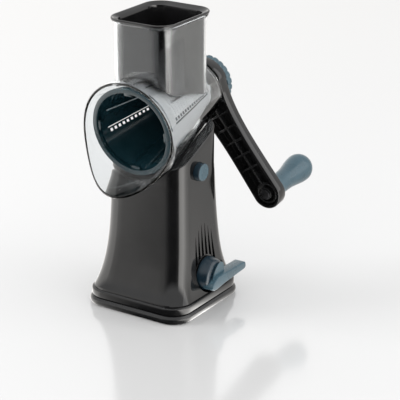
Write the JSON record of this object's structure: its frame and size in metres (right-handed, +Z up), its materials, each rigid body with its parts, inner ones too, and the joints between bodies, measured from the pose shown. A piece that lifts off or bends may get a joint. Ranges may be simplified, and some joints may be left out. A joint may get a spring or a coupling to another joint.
{
  "type": "rotary cheese grater",
  "caption": "Hand-cranked rotary drum grater on a square suction-foot stand, with a clear barrel and hopper, a hollow pusher and a lever that grips the table.",
  "frame": {"origin": "on the table, under the middle of the square foot, on the suction cup's flat underside", "axes": "+Z up, -Y out of the drum's mouth, +Y to the crank, +X to the lever and the release button"},
  "size_m": [0.1466, 0.2454, 0.295],
  "materials": {
    "gloss_black": "polished black ABS",
    "matte_black": "fine moulded black",
    "soft_black": "satin black",
    "rubber": "soft black rubber",
    "petrol_blue": "satin petrol blue",
    "drum_teal": "dark teal, hard and polished",
    "clear": "clear styrene plastic",
    "steel": "bright stainless",
    "brass": "machined"
  },
  "bodies": {
    "stand": {"foot_ring": "soft_black", "stand_shell": "gloss_black", "base_plate": "matte_black", "suction_cup": "rubber", "cup_clamp_ring": "matte_black", "base_screw_1": "steel", "base_screw_2": "steel", "base_screw_3": "steel", "base_screw_4": "steel", "cam_bracket": "matte_black", "bracket_screw_1": "steel", "bracket_screw_2": "steel", "lever_bush": "matte_black", "latch_guide": "matte_black", "guide_screw_1": "steel", "guide_screw_2": "steel"},
    "lever": {"suction_lever": "petrol_blue", "cam_shaft": "steel"},
    "stem": {"pull_stem": "matte_black"},
    "release": {"release_button": "petrol_blue", "latch_slide": "matte_black", "button_spring": "steel"},
    "housing": {"housing": "clear", "rear_bush": "matte_black"},
    "pusher": {"pusher": "gloss_black"},
    "drum": {"drum_ring": "drum_teal", "drum_frame": "drum_teal", "grating_plate_1": "drum_teal", "grating_plate_2": "drum_teal", "grating_plate_3": "drum_teal", "grating_plate_4": "drum_teal", "drive_spindle": "steel"},
    "crank": {"crank_arm": "gloss_black", "handle_pin": "steel"},
    "handle": {"handle_grip": "petrol_blue", "handle_cap": "petrol_blue"},
    "clamp_knob": {"clamp_knob": "petrol_blue", "knob_insert": "brass"}
  },
  "joints": [
    {"name": "crank_spin", "type": "hinge", "parent": "housing", "child": "crank", "pos_m": [0, -0.052, 0.1893], "axis": [0, 0.9919, 0.1271], "continuous": true},
    {"name": "handle_spin", "type": "hinge", "parent": "crank", "child": "handle", "pos_m": [0.07158, -0.03852, 0.08404], "axis": [0, 0.9919, 0.1271], "continuous": true},
    {"name": "clamp_knob_turn", "type": "hinge", "parent": "crank", "child": "clamp_knob", "pos_m": [0, -0.052, 0.1893], "axis": [0, 0.9919, 0.1271], "continuous": true},
    {"name": "drum_withdraw", "type": "slide", "parent": "crank", "child": "drum", "axis": [0, -0.9919, -0.1271], "range_m": [0, 0.145]},
    {"name": "pusher_slide", "type": "slide", "parent": "housing", "child": "pusher", "axis": [0, 0, 1], "range_m": [0, 0.09]},
    {"name": "housing_lift", "type": "slide", "parent": "stand", "child": "housing", "axis": [0, 0, 1], "range_m": [0, 0.12]},
    {"name": "button_press", "type": "slide", "parent": "stand", "child": "release", "axis": [-1, 0, 0], "range_m": [0, 0.003], "stiffness_N_per_m": 900, "springref_m": -0.001, "deforming": ["button_spring"]},
    {"name": "suction_lever_turn", "type": "hinge", "parent": "stand", "child": "lever", "pos_m": [0, 0.002, 0.036], "axis": [1, 0, 0], "range_deg": [0, 180]},
    {"name": "stem_lift", "type": "slide", "parent": "stand", "child": "stem", "axis": [0, 0, 1], "range_m": [0, 0.004]}
  ],
  "couplings": [
    {"joint": "stem_lift", "follows": "suction_lever_turn", "m_per_rad": 0.0012732}
  ]
}
